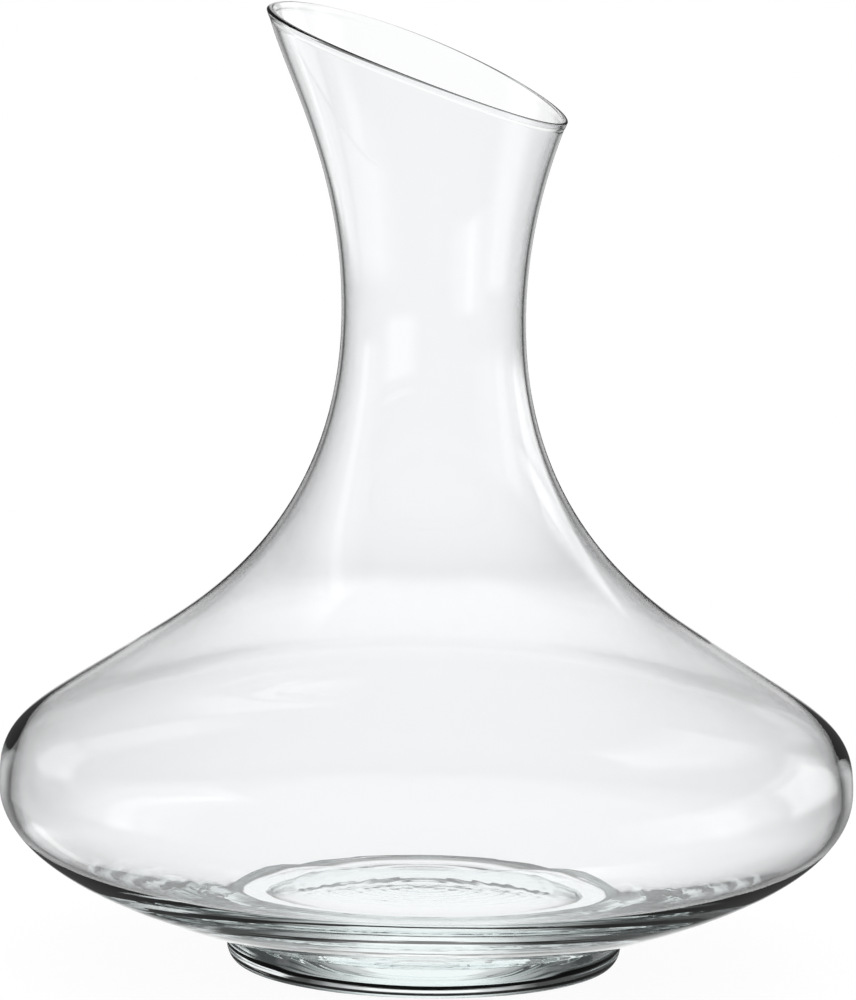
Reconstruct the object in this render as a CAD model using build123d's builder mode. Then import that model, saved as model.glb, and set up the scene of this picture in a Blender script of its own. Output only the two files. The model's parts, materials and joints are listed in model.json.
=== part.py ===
"""Wine decanter: a wide, low bowl with a tall flared neck, standing on a pressed foot.

Sizes are in millimetres. The origin is on the table under the middle of the decanter, and +Z is up.
The mouth is cut on a slant, with its high side towards -X and its pouring side towards +X.
Both pieces are clear glass, turned about Z: the blown body, and the foot that is welded under it.
"""

import os
from math import cos, radians, sin

from build123d import *

# Blown body, outside: what the outline passes through, and its slopes in degrees from the horizontal
belly_radius = 108.0  # widest line of the bowl
belly_height = 45.1
shoulder_radius = 73.3  # where the shoulder stops swelling and starts to sweep up into the neck
shoulder_height = 80.3
shoulder_slope = 34.1
neck_radius = 23.2  # narrowest part of the neck
neck_height = 165.2
lip_radius = 43.4  # flared lip, at the high side of the mouth
lip_height = 243.8  # top of the decanter
lip_slope = 81.0
base_slope = 16.6  # the bowl's underside, where it leaves the foot

# Blown body, walls
belly_wall = 2.8
shoulder_wall = 1.9
neck_wall = 1.0
lip_wall = 1.3
floor_height = 18.2  # inside floor, above the table
floor_radius = 34.0  # the floor is flat to here, then sweeps up into the side

# Mouth: an arc across the decanter's width, from the high side down to the pouring side
mouth_fall = 32.6  # over twice the lip's radius
mouth_bow = 2.2  # how far the arc stands above a straight cut
mouth_round = 0.3  # fire-polished edges
trimmed_top = 1.6  # glass that the cut takes off at the high side

# Foot: a thick disc with bulging sides and a shallow hollow under it
foot_height = 7.8  # its flat top carries the body
foot_top_radius = 49.4
foot_bulge = 0.5  # how far the side swells out past the top edge
foot_bulge_drop = 2.8  # the widest line lies this far under the top
foot_taper = 3.0  # the side rounds under to a ring this much inside the top edge
foot_ring_width = 6.0  # flat ring that touches the table
foot_hollow_depth = 2.8

# Fullness of each curve: the length of its handles, as a share of the straight line between its ends
base_fullness = (0.39, 0.27)
belly_fullness = (0.31, 0.73)
neck_fullness = (0.16, 0.55)
flare_fullness = (0.49, 0.19)
floor_fullness = (0.53, 0.24)


def sweep_between(start, start_angle, end, end_angle, fullness):
    """A smooth curve that leaves start and reaches end at the given headings, in degrees."""
    start, end = Vector(*start), Vector(*end)
    span = (end - start).length
    leave = Vector(cos(radians(start_angle)), sin(radians(start_angle))) * (span * fullness[0])
    arrive = Vector(cos(radians(end_angle)), sin(radians(end_angle))) * (span * fullness[1])
    return Bezier(start, start + leave, end - arrive, end)


def inward(point, heading, wall):
    """The point that lies one wall's thickness to the left of an outline with this heading."""
    return (point[0] - wall * sin(radians(heading)), point[1] + wall * cos(radians(heading)))


# Headings of the outline as it climbs from the foot to the lip
straight_up = 90
shoulder_heading = 180 - shoulder_slope
lip_heading = lip_slope

# Points that the outside passes through
foot_edge = (foot_top_radius, foot_height)
belly = (belly_radius, belly_height)
shoulder = (shoulder_radius, shoulder_height)
neck = (neck_radius, neck_height)
lip = (lip_radius, lip_height + trimmed_top)

# The same points on the inside, one wall further in
belly_inside = inward(belly, straight_up, belly_wall)
shoulder_inside = inward(shoulder, shoulder_heading, shoulder_wall)
neck_inside = inward(neck, straight_up, neck_wall)
lip_inside = inward(lip, lip_heading, lip_wall)
floor_edge = (floor_radius, floor_height)

# Blown body: bowl, shoulder and neck in one gather of glass
with BuildPart() as blown_body:
    with BuildSketch(Plane.XZ):
        with BuildLine():
            Line((0, foot_height), foot_edge)
            sweep_between(foot_edge, base_slope, belly, straight_up, base_fullness)
            sweep_between(belly, straight_up, shoulder, shoulder_heading, belly_fullness)
            sweep_between(shoulder, shoulder_heading, neck, straight_up, neck_fullness)
            sweep_between(neck, straight_up, lip, lip_heading, flare_fullness)
            Line(lip, lip_inside)
            sweep_between(neck_inside, straight_up, lip_inside, lip_heading, flare_fullness)
            sweep_between(shoulder_inside, shoulder_heading, neck_inside, straight_up, neck_fullness)
            sweep_between(belly_inside, straight_up, shoulder_inside, shoulder_heading, belly_fullness)
            sweep_between(floor_edge, 0, belly_inside, straight_up, floor_fullness)
            Line(floor_edge, (0, floor_height))
            Line((0, floor_height), (0, foot_height))
        make_face()
    revolve(axis=Axis.Z)

    # Slanted mouth
    high_side = (-lip_radius, lip_height)
    middle = (0, lip_height - mouth_fall / 2 + mouth_bow)
    low_side = (lip_radius, lip_height - mouth_fall)
    clear = 2 * lip_radius  # the cutter reaches this far past the lip, every way
    with BuildSketch(Plane.XZ):
        with BuildLine():
            ThreePointArc(high_side, middle, low_side)
            Polyline(
                low_side,
                (clear, lip_height - mouth_fall),
                (clear, lip_height + clear),
                (-clear, lip_height + clear),
                (-clear, lip_height),
                high_side,
            )
        make_face()
    extrude(amount=clear, both=True, mode=Mode.SUBTRACT)
    mouth_edges = blown_body.faces().sort_by(Axis.Z)[-1].edges()
    fillet(mouth_edges, mouth_round)

# Foot, pressed and welded to the flat under the bowl
foot_widest = (foot_top_radius + foot_bulge, foot_height - foot_bulge_drop)
side_handle = (foot_widest[0], foot_height - foot_bulge_drop / 2)
ring_outside = foot_top_radius - foot_taper
ring_inside = ring_outside - foot_ring_width
with BuildPart() as foot:
    with BuildSketch(Plane.XZ):
        with BuildLine():
            Line((0, foot_hollow_depth), (0, foot_height))
            Line((0, foot_height), foot_edge)
            Bezier(foot_edge, side_handle, foot_widest)
            EllipticalCenterArc(
                (ring_outside, foot_widest[1]),
                foot_bulge + foot_taper,
                foot_widest[1],
                start_angle=270,
                arc_size=90,
            )
            Line((ring_outside, 0), (ring_inside, 0))
            Bezier(
                (ring_inside, 0),
                (ring_inside - foot_ring_width, foot_hollow_depth),
                (0, foot_hollow_depth),
            )
        make_face()
    revolve(axis=Axis.Z)

os.makedirs("parts", exist_ok=True)

blown_body.part.label = "blown_body"
foot.part.label = "foot"
export_step(blown_body.part, "parts/blown_body.step")
export_step(foot.part, "parts/foot.step")

for piece in (blown_body.part, foot.part):
    print(piece.label, "volume", round(piece.volume / 1000, 1), "cm3", piece.bounding_box())
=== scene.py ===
import json
import math

import bpy
import numpy as np
from mathutils import Matrix, Vector

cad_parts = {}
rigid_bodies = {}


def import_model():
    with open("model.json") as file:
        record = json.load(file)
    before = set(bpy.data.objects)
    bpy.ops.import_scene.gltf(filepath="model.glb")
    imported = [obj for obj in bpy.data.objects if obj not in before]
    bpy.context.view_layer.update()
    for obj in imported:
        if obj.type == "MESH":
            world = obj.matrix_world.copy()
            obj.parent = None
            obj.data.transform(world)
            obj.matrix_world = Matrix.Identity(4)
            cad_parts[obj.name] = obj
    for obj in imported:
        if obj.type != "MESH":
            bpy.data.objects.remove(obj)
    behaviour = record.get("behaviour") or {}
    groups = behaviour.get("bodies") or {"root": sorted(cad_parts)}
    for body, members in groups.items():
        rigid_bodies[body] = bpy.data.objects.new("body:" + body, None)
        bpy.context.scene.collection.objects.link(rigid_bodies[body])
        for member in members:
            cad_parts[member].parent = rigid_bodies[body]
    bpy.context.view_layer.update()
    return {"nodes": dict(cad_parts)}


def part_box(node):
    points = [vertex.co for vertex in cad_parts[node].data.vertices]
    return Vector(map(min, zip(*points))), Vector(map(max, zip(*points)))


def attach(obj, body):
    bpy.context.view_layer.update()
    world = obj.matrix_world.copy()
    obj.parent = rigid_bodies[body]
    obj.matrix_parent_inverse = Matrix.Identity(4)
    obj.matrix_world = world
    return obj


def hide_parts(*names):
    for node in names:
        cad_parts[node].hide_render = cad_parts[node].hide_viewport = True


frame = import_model()
print("frame loaded:", sorted(frame["nodes"]))

mm = 0.001
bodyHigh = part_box("blown_body")[1]  # top corner of each piece's CAD box
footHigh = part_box("foot")[1]


# helpers that both pieces share

def columnAngles(cols):
    # column number times a full turn / number of columns
    return np.arange(cols) * (2 * np.pi / cols)


def headingVector(degrees):
    # cos a outwards, sin a upwards
    return np.array([math.cos(math.radians(degrees)), math.sin(math.radians(degrees))])


def cubicBetween(start, startHeading, end, endHeading, fullness, t):
    # cubic curve: (1-t)^3 a + 3t(1-t)^2 b + 3t^2(1-t) c + t^3 d, with b and c on the headings at the two ends
    start, end = np.array(start, float), np.array(end, float)
    span = np.linalg.norm(end - start)
    leave = start + span * fullness[0] * headingVector(startHeading)
    arrive = end - span * fullness[1] * headingVector(endHeading)
    t = np.asarray(t)[..., None]
    return (1 - t) ** 3 * start + 3 * t * (1 - t) ** 2 * leave + 3 * t ** 2 * (1 - t) * arrive + t ** 3 * end


def parabolaBetween(start, handle, end, t):
    # (1-t)^2 a + 2t(1-t) b + t^2 c, for t as one column of numbers
    return (1 - t) ** 2 * np.array(start) + 2 * t * (1 - t) * np.array(handle) + t ** 2 * np.array(end)


def inward(point, heading, wall):
    # point + wall (-sin a, cos a): one wall's thickness to the left of an outline with this heading
    a = math.radians(heading)
    return (point[0] - wall * math.sin(a), point[1] + wall * math.cos(a))


def flatRows(radii, height):
    # one row of the profile for each radius, all at this height
    return np.stack([radii, np.full(len(radii), height)], -1)


def rings(radius, angle, depth, spacing, last):
    # depth times the sum of two waves over the radius, bent a little by the angle and fading out before last
    swirl = 0.5 * np.sin(angle + 1.1) + 0.15 * np.sin(3 * angle + 0.4)
    wave = np.sin(2 * np.pi * radius / spacing + swirl)
    wave = wave + 0.6 * np.sin(2 * np.pi * radius / (spacing * 1.73) - swirl)
    return depth * wave * np.clip((last - radius) / (0.25 * last), 0, 1)


def turnedMesh(name, radius, height, bottomPole, topPole, sharpRow, weldRows):
    # x = r cos a, y = r sin a, z = height, over the profile's rows and the columns; closed at the poles
    rows, cols = radius.shape
    angle = columnAngles(cols)
    points = np.stack([radius * np.cos(angle), radius * np.sin(angle), height], -1).reshape(-1, 3)
    points = np.vstack([points, [0, 0, bottomPole], [0, 0, topPole]])
    row, col = np.meshgrid(np.arange(rows - 1), np.arange(cols), indexing="ij")
    here, beside = row * cols + col, row * cols + (col + 1) % cols
    quads = np.stack([here, beside, beside + cols, here + cols], -1).reshape(-1, 4)
    first, second = np.arange(cols), (np.arange(cols) + 1) % cols
    topRow = (rows - 1) * cols
    lowFan = np.stack([np.full(cols, rows * cols), second, first], -1)
    topFan = np.stack([topRow + first, topRow + second, np.full(cols, rows * cols + 1)], -1)
    corners = np.concatenate([quads.ravel(), lowFan.ravel(), topFan.ravel()])
    sizes = np.concatenate([np.full(len(quads), 4), np.full(2 * cols, 3)])
    mesh = bpy.data.meshes.new(name)
    mesh.vertices.add(len(points))
    mesh.vertices.foreach_set("co", points.astype(np.float32).ravel())
    mesh.loops.add(len(corners))
    mesh.loops.foreach_set("vertex_index", corners.astype(np.int32))
    mesh.polygons.add(len(sizes))
    mesh.polygons.foreach_set("loop_start", (np.cumsum(sizes) - sizes).astype(np.int32))
    mesh.polygons.foreach_set("loop_total", sizes.astype(np.int32))
    mesh.polygons.foreach_set("use_smooth", np.ones(len(sizes), bool))
    faceRow = np.concatenate([quads[:, 0] // cols, np.full(cols, -1), np.full(cols, rows)])
    mesh.polygons.foreach_set("material_index", np.isin(faceRow, list(weldRows)).astype(np.int32))
    mesh.update(calc_edges=True)
    ends = np.empty(len(mesh.edges) * 2, np.int32)
    mesh.edges.foreach_get("vertices", ends)
    endRows = ends.reshape(-1, 2) // cols
    sharp = mesh.attributes.new("sharp_edge", "BOOLEAN", "EDGE")
    sharp.data.foreach_set("value", (endRows == sharpRow).all(axis=1))
    mesh.validate()
    piece = bpy.data.objects.new(name, mesh)
    bpy.context.scene.collection.objects.link(piece)
    return piece


# blown body: bowl, shoulder, neck and slanted mouth

body = dict(
    bellyHeight=45.1 * mm, shoulderRadius=73.3 * mm, shoulderHeight=80.3 * mm, shoulderSlope=34.1,
    neckRadius=23.2 * mm, neckHeight=165.2 * mm,
    lipRadius=43.4 * mm, lipHeight=bodyHigh.z - 0.1 * mm, lipSlope=81,
    baseSlope=16.6, footRadius=49.4 * mm,
    bellyWall=2.8 * mm, shoulderWall=1.9 * mm, neckWall=1.0 * mm, lipWall=1.3 * mm, lipRound=0.5 * mm,
    bead=0.2 * mm, beadDepth=1.6 * mm,  # fire polishing swells the last millimetres of the wall
    floorHeight=18.2 * mm, floorRadius=34 * mm,
    mouthFall=32.6 * mm, mouthBow=2.2 * mm,
    trimmedTop=1.8 * mm,  # glass that the slanted cut takes off at the high side
    baseFullness=(0.39, 0.27), bellyFullness=(0.31, 0.73), neckFullness=(0.16, 0.55),
    flareFullness=(0.49, 0.19), floorFullness=(0.53, 0.24),
    floorRings=0.020 * mm, ringSpacing=3.4 * mm, ringsEnd=78 * mm,  # turning leaves rings in the thick floor
    underRings=0.012 * mm, underSpacing=6 * mm,  # and under the bowl
    weldGap=0.02 * mm,
    columns=192,
    rows=dict(weld=6, base=60, belly=30, neck=36, flare=60, lip=17, sweep=100, floor=74),
    rimRows=2.4,  # above 1, the flare's rows lie closer towards the lip
    cutSteps=1500,  # places tried along the flare for the cut
)


def mouthHeight(x):
    # falls from the high side to the pouring side along an arc: middle - slope x - bow (x / lip radius)^2
    b = body
    across = x / b["lipRadius"]
    return b["lipHeight"] - b["mouthFall"] / 2 * (1 + across) + b["mouthBow"] * (1 - across ** 2)


def flareEnd(neck, lip, angle):
    # share of the flare's curve at which height + lip round = mouth height, one for each column
    b = body
    fine = np.linspace(0, 1, b["cutSteps"])
    curve = cubicBetween(neck, 90, lip, b["lipSlope"], b["flareFullness"], fine)
    above = curve[:, 1, None] + b["lipRound"] - mouthHeight(curve[:, 0, None] * np.cos(angle))
    first = np.argmax(above > 0, axis=0)
    first[first == 0] = len(fine) - 1
    before = np.take_along_axis(above, first[None] - 1, 0)[0]
    after = np.take_along_axis(above, first[None], 0)[0]
    return fine[first - 1] + (fine[first] - fine[first - 1]) * np.clip(-before / (after - before), 0, 1)


def flareRows(neck, angle):
    # both faces run along the flare's curve by 1 - (1 - s)^rimRows of its cut length, and each swells by
    # bead exp(-(distance to rim / depth)^4); the lip is half an ellipse from one face over to the other
    b = body
    lip = (b["lipRadius"], b["lipHeight"] + b["trimmedTop"])
    neckIn, lipIn = inward(neck, 90, b["neckWall"]), inward(lip, b["lipSlope"], b["lipWall"])
    closer = 1 - (1 - np.linspace(0, 1, b["rows"]["flare"])) ** b["rimRows"]
    share = closer[:, None] * flareEnd(neck, lip, angle)
    outer = cubicBetween(neck, 90, lip, b["lipSlope"], b["flareFullness"], share)
    inner = cubicBetween(neckIn, 90, lipIn, b["lipSlope"], b["flareFullness"], share)
    ahead = outer[-1] - outer[-4]  # over the last three rows
    ahead /= np.linalg.norm(ahead, axis=-1, keepdims=True)
    outwards = np.stack([ahead[:, 1], -ahead[:, 0]], -1)
    toRim = np.linalg.norm(outer - outer[-1], axis=-1, keepdims=True)
    swell = b["bead"] * np.exp(-(toRim / b["beadDepth"]) ** 4) * outwards
    outer, inner = outer + swell, (inner - swell)[::-1]
    turn = np.linspace(0, np.pi, b["rows"]["lip"] + 2)[1:-1, None, None]
    middle, half = (outer[-1] + inner[0]) / 2, (outer[-1] - inner[0]) / 2
    return np.concatenate([outer, middle + np.cos(turn) * half + np.sin(turn) * b["lipRound"] * ahead, inner])


def makeBody():
    # one closed profile: weld, outside up to the lip, inside down again and the floor, in cubic curves
    b, rows = body, body["rows"]
    angle = columnAngles(b["columns"])
    up, shoulderHeading = 90, 180 - b["shoulderSlope"]
    weldHeight = footHigh.z + b["weldGap"]
    footEdge = (b["footRadius"], footHigh.z)
    belly = (bodyHigh.x, b["bellyHeight"])
    shoulder = (b["shoulderRadius"], b["shoulderHeight"])
    neck = (b["neckRadius"], b["neckHeight"])
    floorEdge = (b["floorRadius"], b["floorHeight"])
    bellyIn = inward(belly, up, b["bellyWall"])
    shoulderIn = inward(shoulder, shoulderHeading, b["shoulderWall"])
    neckIn = inward(neck, up, b["neckWall"])

    def steps(part):
        return np.arange(rows[part]) / rows[part]

    def spread(profile):
        return np.repeat(profile[:, None, :], b["columns"], axis=1)

    outside = spread(np.vstack([
        cubicBetween(footEdge, b["baseSlope"], belly, up, b["baseFullness"], steps("base")),
        cubicBetween(belly, up, shoulder, shoulderHeading, b["bellyFullness"], steps("belly")),
        cubicBetween(shoulder, shoulderHeading, neck, up, b["neckFullness"], steps("neck")),
    ]))
    inside = spread(np.vstack([
        cubicBetween(floorEdge, 0, bellyIn, up, b["floorFullness"], steps("sweep")),
        cubicBetween(bellyIn, up, shoulderIn, shoulderHeading, b["bellyFullness"], steps("belly")),
        cubicBetween(shoulderIn, shoulderHeading, neckIn, up, b["neckFullness"], steps("neck")),
    ])[::-1])
    floor = spread(flatRows(b["floorRadius"] * np.linspace(1, 0, rows["floor"] + 2)[1:-1], b["floorHeight"]))
    weld = spread(flatRows(np.linspace(0, b["footRadius"], rows["weld"] + 2)[1:-1], weldHeight))
    outside[0, :, 1] = weldHeight
    base, sweep = outside[1:rows["base"]], inside[-rows["sweep"]:]
    base[..., 1] += rings(base[..., 0], angle, b["underRings"], b["underSpacing"], b["ringsEnd"])
    for part in (sweep, floor):
        part[..., 1] += rings(part[..., 0], angle, b["floorRings"], b["ringSpacing"], b["ringsEnd"])

    grid = np.concatenate([weld, outside, flareRows(neck, angle), inside, floor])
    piece = turnedMesh("blownBody", grid[..., 0], grid[..., 1], weldHeight, b["floorHeight"],
                       sharpRow=rows["weld"], weldRows=range(-1, rows["weld"]))
    print("blown body:", len(piece.data.polygons), "faces")
    return piece


# foot: thick disc with bulging sides and a shallow hollow under it

footShape = dict(
    bulge=0.5 * mm, bulgeDrop=2.8 * mm, taper=3.0 * mm, ringWidth=6.0 * mm, hollow=2.8 * mm,
    rings=0.012 * mm, ringSpacing=4.5 * mm,
    columns=256, rows=dict(hollow=59, ring=6, roundUnder=22, side=13, weld=6),
)


def makeFoot():
    # hollow: parabola out to the flat ring; side: quarter ellipse up to the widest line, then a parabola in
    f, rows = footShape, footShape["rows"]
    angle = columnAngles(f["columns"])
    top, radius = footHigh.z, body["footRadius"]
    widest, middle = radius + f["bulge"], top - f["bulgeDrop"]
    ringOut = radius - f["taper"]
    ringIn = ringOut - f["ringWidth"]
    t = np.linspace(0, 1, rows["hollow"] + 1)[1:, None]
    hollow = parabolaBetween((0, f["hollow"]), (ringIn - f["ringWidth"], f["hollow"]), (ringIn, 0), t)
    ring = flatRows(np.linspace(ringIn, ringOut, rows["ring"] + 2)[1:-1], 0)
    a = np.linspace(0, np.pi / 2, rows["roundUnder"])[:, None]
    roundUnder = np.hstack([ringOut + (widest - ringOut) * np.sin(a), middle * (1 - np.cos(a))])
    t = np.linspace(0, 1, rows["side"] + 1)[1:, None]
    side = parabolaBetween((widest, middle), (widest, (top + middle) / 2), (radius, top), t)
    weld = flatRows(np.linspace(radius, 0, rows["weld"] + 2)[1:-1], top)
    profile = np.concatenate([hollow, ring, roundUnder, side, weld])
    grid = np.repeat(profile[:, None, :], f["columns"], axis=1)
    under = grid[:rows["hollow"]]
    under[..., 1] += rings(under[..., 0], angle, f["rings"], f["ringSpacing"], ringIn)
    edgeRow = len(grid) - rows["weld"] - 1
    piece = turnedMesh("pressedFoot", grid[..., 0], grid[..., 1], f["hollow"], top,
                       sharpRow=edgeRow, weldRows=range(edgeRow, len(grid) + 1))
    print("foot:", len(piece.data.polygons), "faces")
    return piece


# glass

glass = dict(
    ior=1.52, tint=(0.99, 0.995, 1, 1), absorb=(0.66, 0.87, 0.84, 1), density=1.6,
    waveScale=45, waveDepth=0.03 * mm,  # blown glass is never quite even
)


def absorbInside(tree):
    # the tint grows with the thickness of the glass
    absorb = tree.nodes.new("ShaderNodeVolumeAbsorption")
    absorb.inputs["Color"].default_value = glass["absorb"]
    absorb.inputs["Density"].default_value = glass["density"]
    tree.links.new(absorb.outputs[0], tree.nodes["Material Output"].inputs["Volume"])


def glassMaterial(name):
    # smooth clear glass with a slow, very faint unevenness
    mat = bpy.data.materials.new(name)
    mat.use_nodes = True
    tree = mat.node_tree
    shader = tree.nodes["Principled BSDF"]
    shader.inputs["Base Color"].default_value = glass["tint"]
    shader.inputs["Roughness"].default_value = 0
    shader.inputs["IOR"].default_value = glass["ior"]
    shader.inputs["Transmission Weight"].default_value = 1
    absorbInside(tree)
    place = tree.nodes.new("ShaderNodeTexCoord")
    wave = tree.nodes.new("ShaderNodeTexNoise")
    wave.inputs["Scale"].default_value = glass["waveScale"]
    wave.inputs["Detail"].default_value = 1
    tree.links.new(place.outputs["Object"], wave.inputs["Vector"])
    bump = tree.nodes.new("ShaderNodeBump")
    bump.inputs["Strength"].default_value = 1
    bump.inputs["Distance"].default_value = glass["waveDepth"]
    tree.links.new(wave.outputs["Fac"], bump.inputs["Height"])
    tree.links.new(bump.outputs[0], shader.inputs["Normal"])
    return mat


def weldMaterial(name):
    # lets light straight through where the two pieces are one mass of glass
    mat = bpy.data.materials.new(name)
    mat.use_nodes = True
    tree = mat.node_tree
    tree.nodes.remove(tree.nodes["Principled BSDF"])
    clear = tree.nodes.new("ShaderNodeBsdfTransparent")
    tree.links.new(clear.outputs[0], tree.nodes["Material Output"].inputs["Surface"])
    absorbInside(tree)
    return mat


blownBody = makeBody()
foot = makeFoot()
bodyGlass, weldGlass = glassMaterial("blownGlass"), weldMaterial("weldedFace")
for piece, node, slot in ((blownBody, "blown_body", "clear_glass"), (foot, "foot", "foot_glass")):
    piece.data.materials.append(bodyGlass)
    piece.data.materials.append(weldGlass)
    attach(piece, "root")
    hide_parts(node)


# studio

studio = dict(
    # soft cards round the glass: bearing in degrees from +X through +Y, share of the usual width, lowest and
    # highest elevation that each covers, how many degrees those ends fade over, brightness
    cards=[(90, 1.0, -64, 62, 10, 1.07), (180, 1.0, -7, 58, 2, 1.08), (0, 1.7, -5, 24, 4, 1.0),
           (135, 0.9, -38, -17, 2, 1.08), (315, 1.1, -32, -13, 2, 1.08)],
    # how a card fades: degrees off its middle, share of its brightness
    cardEdge=[(10, 1), (14, 0.68), (19, 0.45), (24, 0.16), (28, 0)],
    mirrored=2.8,  # how much narrower the cards look in the outer surface
    box=dict(bearing=41, half=15, low=-6, high=24, soft=2.5, level=1.05),  # window-shaped lamp
    # the room behind them: height from 0 straight down to 1 straight up, brightness
    room=[(0.02, 0.36), (0.12, 0.12), (0.45, 0.07), (0.85, 0.07), (0.95, 0.14)],
)


def mathNode(tree, operation, *values):
    # each value is a number, or a socket to link
    node = tree.nodes.new("ShaderNodeMath")
    node.operation = operation
    for socket, value in zip(node.inputs, values):
        if isinstance(value, (int, float)):
            socket.default_value = value
        else:
            tree.links.new(value, socket)
    return node.outputs[0]


def rampNode(tree, value, stops):
    # eases from one (position, brightness) stop to the next
    ramp = tree.nodes.new("ShaderNodeValToRGB")
    ramp.color_ramp.interpolation = "EASE"
    marks = ramp.color_ramp.elements
    while len(marks) < len(stops):
        marks.new(0.5)
    for mark, (position, brightness) in zip(marks, stops):
        mark.position = position
        mark.color = (brightness, brightness, brightness, 1)
    tree.links.new(value, ramp.inputs[0])
    return ramp.outputs[0]


def bandNode(tree, height, low, high, soft):
    # 1 between two elevations and 0 beyond, over soft degrees each way; height = sin(elevation) / 2 + 1/2
    def mark(degrees):
        return math.sin(math.radians(degrees)) / 2 + 0.5
    return rampNode(tree, height, [(mark(low - soft), 0), (mark(low + soft), 1),
                                   (mark(high - soft), 1), (mark(high + soft), 0)])


def offsetNode(tree, bearing, centre):
    # how far a bearing lies from the centre, either way round, as a share of half a turn
    turn = mathNode(tree, "SUBTRACT", bearing, centre / 360)
    wrapped = mathNode(tree, "WRAP", turn, 0.5, -0.5)
    return mathNode(tree, "MULTIPLY", mathNode(tree, "ABSOLUTE", wrapped), 2)


def backgroundNode(tree):
    background = tree.nodes.new("ShaderNodeBackground")
    background.inputs["Color"].default_value = (1, 1, 1, 1)
    return background


def makeWorld():
    # brightest of the room, the cards and the box by direction, for mirrored and refracted rays; else white
    st = studio
    world = bpy.data.worlds.new("studio")
    bpy.context.scene.world = world
    world.use_nodes = True
    tree = world.node_tree
    tree.nodes.clear()
    place = tree.nodes.new("ShaderNodeTexCoord")
    split = tree.nodes.new("ShaderNodeSeparateXYZ")
    tree.links.new(place.outputs["Generated"], split.inputs[0])
    angle = mathNode(tree, "ARCTAN2", split.outputs["Y"], split.outputs["X"])
    bearing = mathNode(tree, "DIVIDE", angle, 2 * math.pi)
    height = mathNode(tree, "MULTIPLY_ADD", split.outputs["Z"], 0.5, 0.5)
    path = tree.nodes.new("ShaderNodeLightPath")
    glossy, refracted = path.outputs["Is Glossy Ray"], path.outputs["Is Transmission Ray"]
    mirror = mathNode(tree, "SUBTRACT", glossy, refracted)
    narrower = mathNode(tree, "MULTIPLY_ADD", mirror, st["mirrored"], 1)
    light = rampNode(tree, height, st["room"])
    for centre, share, low, high, soft, brightness in st["cards"]:
        offset = mathNode(tree, "MULTIPLY", offsetNode(tree, bearing, centre), narrower)
        fade = rampNode(tree, offset, [(degrees * share / 180, value) for degrees, value in st["cardEdge"]])
        card = mathNode(tree, "MULTIPLY", fade, bandNode(tree, height, low, high, soft))
        light = mathNode(tree, "MAXIMUM", light, mathNode(tree, "MULTIPLY", card, brightness))
    box = st["box"]
    edges = [((box["half"] - box["soft"]) / 180, 1), ((box["half"] + box["soft"]) / 180, 0)]
    side = rampNode(tree, offsetNode(tree, bearing, box["bearing"]), edges)
    pane = mathNode(tree, "MULTIPLY", side, bandNode(tree, height, box["low"], box["high"], box["soft"]))
    light = mathNode(tree, "MAXIMUM", light, mathNode(tree, "MULTIPLY", pane, box["level"]))
    plain, pattern = backgroundNode(tree), backgroundNode(tree)
    tree.links.new(light, pattern.inputs["Strength"])
    choose = tree.nodes.new("ShaderNodeMixShader")
    tree.links.new(mathNode(tree, "MAXIMUM", glossy, refracted), choose.inputs[0])
    tree.links.new(plain.outputs[0], choose.inputs[1])
    tree.links.new(pattern.outputs[0], choose.inputs[2])
    out = tree.nodes.new("ShaderNodeOutputWorld")
    tree.links.new(choose.outputs[0], out.inputs[0])


tableTop = dict(radius=0.24, drop=0.05 * mm, columns=96, grey=0.08, glow=0.945)  # drop keeps it off the foot


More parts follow.
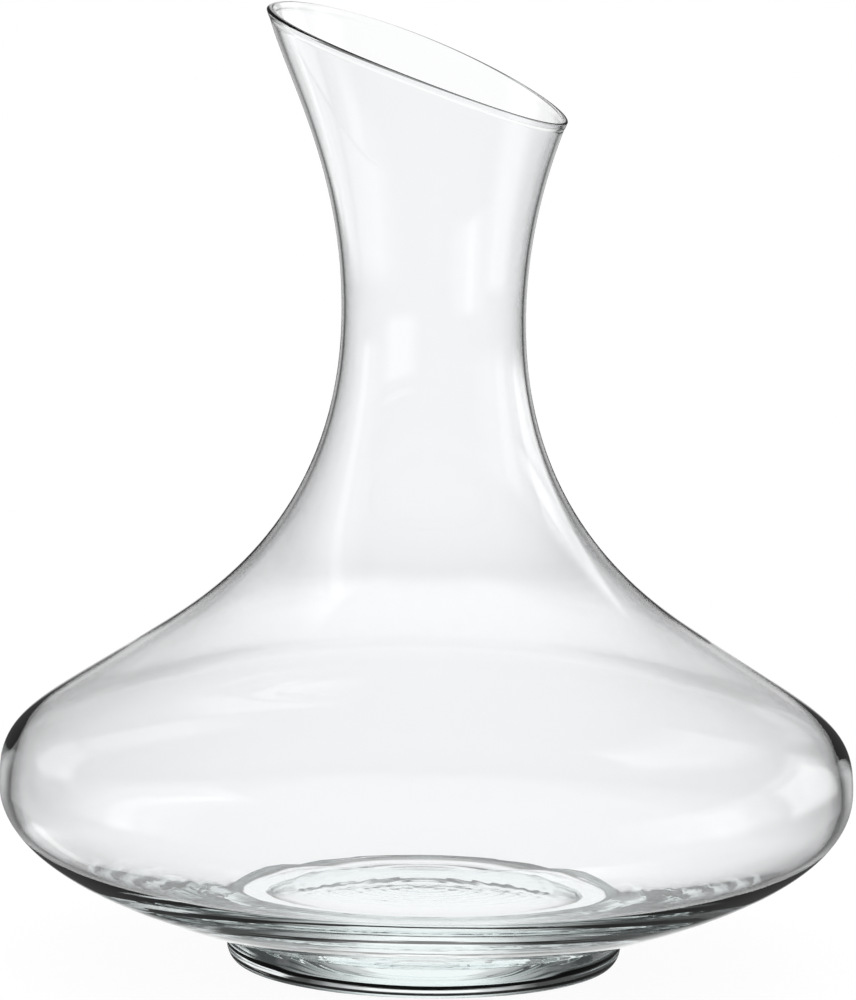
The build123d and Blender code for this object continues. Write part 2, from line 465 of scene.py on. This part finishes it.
def makeTable():
    # flat disc, radius (cos a, sin a), that only the camera sees; its own glow makes it pale
    tt = tableTop
    angle = columnAngles(tt["columns"])
    rim = np.stack([np.cos(angle), np.sin(angle), np.zeros(len(angle))], -1) * tt["radius"]
    mesh = bpy.data.meshes.new("table")
    mesh.from_pydata(rim.tolist(), [], [list(range(len(rim)))])
    floor = bpy.data.objects.new("table", mesh)
    floor.location.z = -tt["drop"]
    bpy.context.scene.collection.objects.link(floor)
    mat = bpy.data.materials.new("paleTable")
    mat.use_nodes = True
    tree = mat.node_tree
    tree.nodes.clear()
    diffuse = tree.nodes.new("ShaderNodeBsdfDiffuse")
    diffuse.inputs["Color"].default_value = (tt["grey"], tt["grey"], tt["grey"], 1)
    glow = tree.nodes.new("ShaderNodeEmission")
    glow.inputs["Strength"].default_value = tt["glow"]
    pale = tree.nodes.new("ShaderNodeAddShader")
    tree.links.new(diffuse.outputs[0], pale.inputs[0])
    tree.links.new(glow.outputs[0], pale.inputs[1])
    clear = tree.nodes.new("ShaderNodeBsdfTransparent")
    path = tree.nodes.new("ShaderNodeLightPath")
    choose = tree.nodes.new("ShaderNodeMixShader")
    tree.links.new(path.outputs["Is Camera Ray"], choose.inputs[0])
    tree.links.new(clear.outputs[0], choose.inputs[1])
    tree.links.new(pale.outputs[0], choose.inputs[2])
    out = tree.nodes.new("ShaderNodeOutputMaterial")
    tree.links.new(choose.outputs[0], out.inputs[0])
    mesh.materials.append(mat)


makeWorld()
makeTable()
print("studio ready")

# camera: distance and aim in metres, elevation and roll in degrees, lens and sensor in millimetres

view = dict(distance=3.927, elevation=10.27, roll=0.93, aim=(-0.0007, 0, 0.1184),
            lens=561, sensor=36, farEnd=50)


def makeCamera():
    # stands back from the aim by distance (0, -cos e, sin e) and looks at it, rolled a little
    data = bpy.data.cameras.new("camera")
    camera = bpy.data.objects.new("camera", data)
    bpy.context.scene.collection.objects.link(camera)
    bpy.context.scene.camera = camera
    data.lens = view["lens"]
    data.sensor_width = view["sensor"]
    data.clip_end = view["farEnd"]
    tilt, roll = math.radians(view["elevation"]), math.radians(view["roll"])
    back = Vector((0, -math.cos(tilt), math.sin(tilt)))
    turned = Matrix.Rotation(math.radians(90) - tilt, 4, "X") @ Matrix.Rotation(roll, 4, "Z")
    camera.matrix_world = Matrix.Translation(Vector(view["aim"]) + back * view["distance"]) @ turned


makeCamera()
scene = bpy.context.scene
scene.view_settings.view_transform = "Standard"
scene.cycles.max_bounces = 32  # light crosses many walls of glass
scene.cycles.transmission_bounces = 32
scene.cycles.glossy_bounces = 16
scene.cycles.transparent_max_bounces = 32
print("camera ready")
